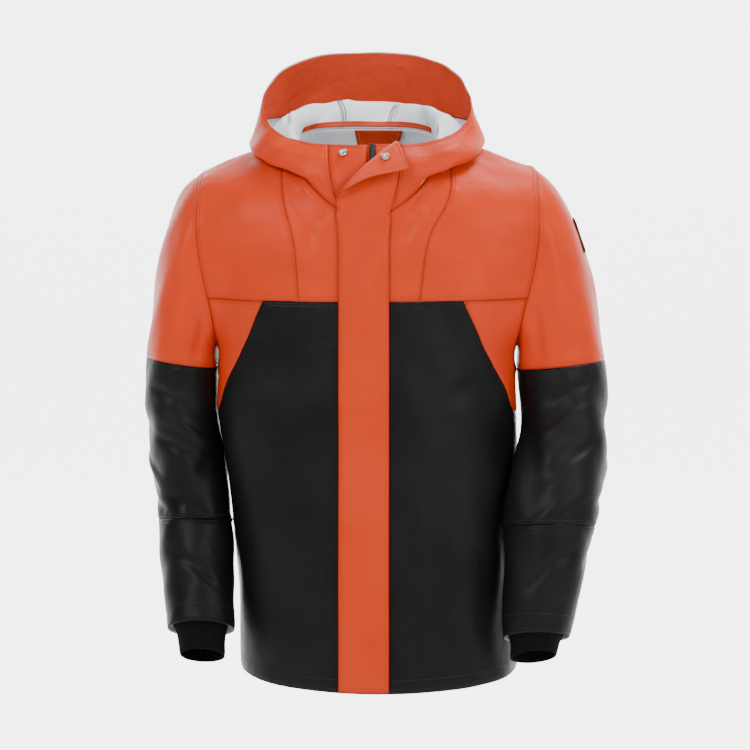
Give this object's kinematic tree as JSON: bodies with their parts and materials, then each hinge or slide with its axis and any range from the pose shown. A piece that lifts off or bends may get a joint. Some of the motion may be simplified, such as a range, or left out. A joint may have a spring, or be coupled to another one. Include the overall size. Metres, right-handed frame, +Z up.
{
  "type": "hooded raincoat",
  "caption": "Hooded waterproof raincoat with its hood down: black body and forearms, orange yokes, sleeve tops, hood and front storm flap over a zip.",
  "frame": {"origin": "where the wearer's shoulders carry the coat: midway between the neck ends of the two shoulder seams, a little above them", "axes": "+Z up along the wearer's back, the front of the coat faces -Y, the wearer's left is +X"},
  "size_m": [0.6687, 0.3496, 0.905],
  "materials": {
    "orange_cloth": "orange coated cloth, satin outside, pale knit backing inside",
    "black_cloth": "black coated cloth, satin outside, pale knit backing inside",
    "black_knit": "matte black rib knit",
    "steel": "smooth plated press studs",
    "zip_plastic": "black moulded teeth and a soft black tab"
  },
  "bodies": {
    "root": {"front_wedge_right": "orange_cloth", "front_neck_panel_right": "orange_cloth", "front_chest_right": "orange_cloth", "front_wedge_left": "orange_cloth", "front_neck_panel_left": "orange_cloth", "front_chest_left": "orange_cloth", "back_yoke": "orange_cloth", "neck_patch": "orange_cloth", "sleeve_top_right": "orange_cloth", "sleeve_top_left": "orange_cloth", "hood_side_left": "orange_cloth", "hood_centre": "orange_cloth", "hood_side_right": "orange_cloth", "collar_band_right": "orange_cloth", "collar_band_left": "orange_cloth", "hood_facing": "orange_cloth", "neck_binding": "orange_cloth", "storm_flap": "orange_cloth", "front_body_right": "black_cloth", "front_body_left": "black_cloth", "back_body": "black_cloth", "sleeve_arm_right": "black_cloth", "sleeve_forearm_right": "black_cloth", "sleeve_arm_left": "black_cloth", "sleeve_forearm_left": "black_cloth", "cuff_right": "black_knit", "cuff_left": "black_knit", "snap_stud": "steel", "snap_socket": "steel", "zip": "zip_plastic", "sleeve_tab": "zip_plastic"}
  },
  "joints": []
}
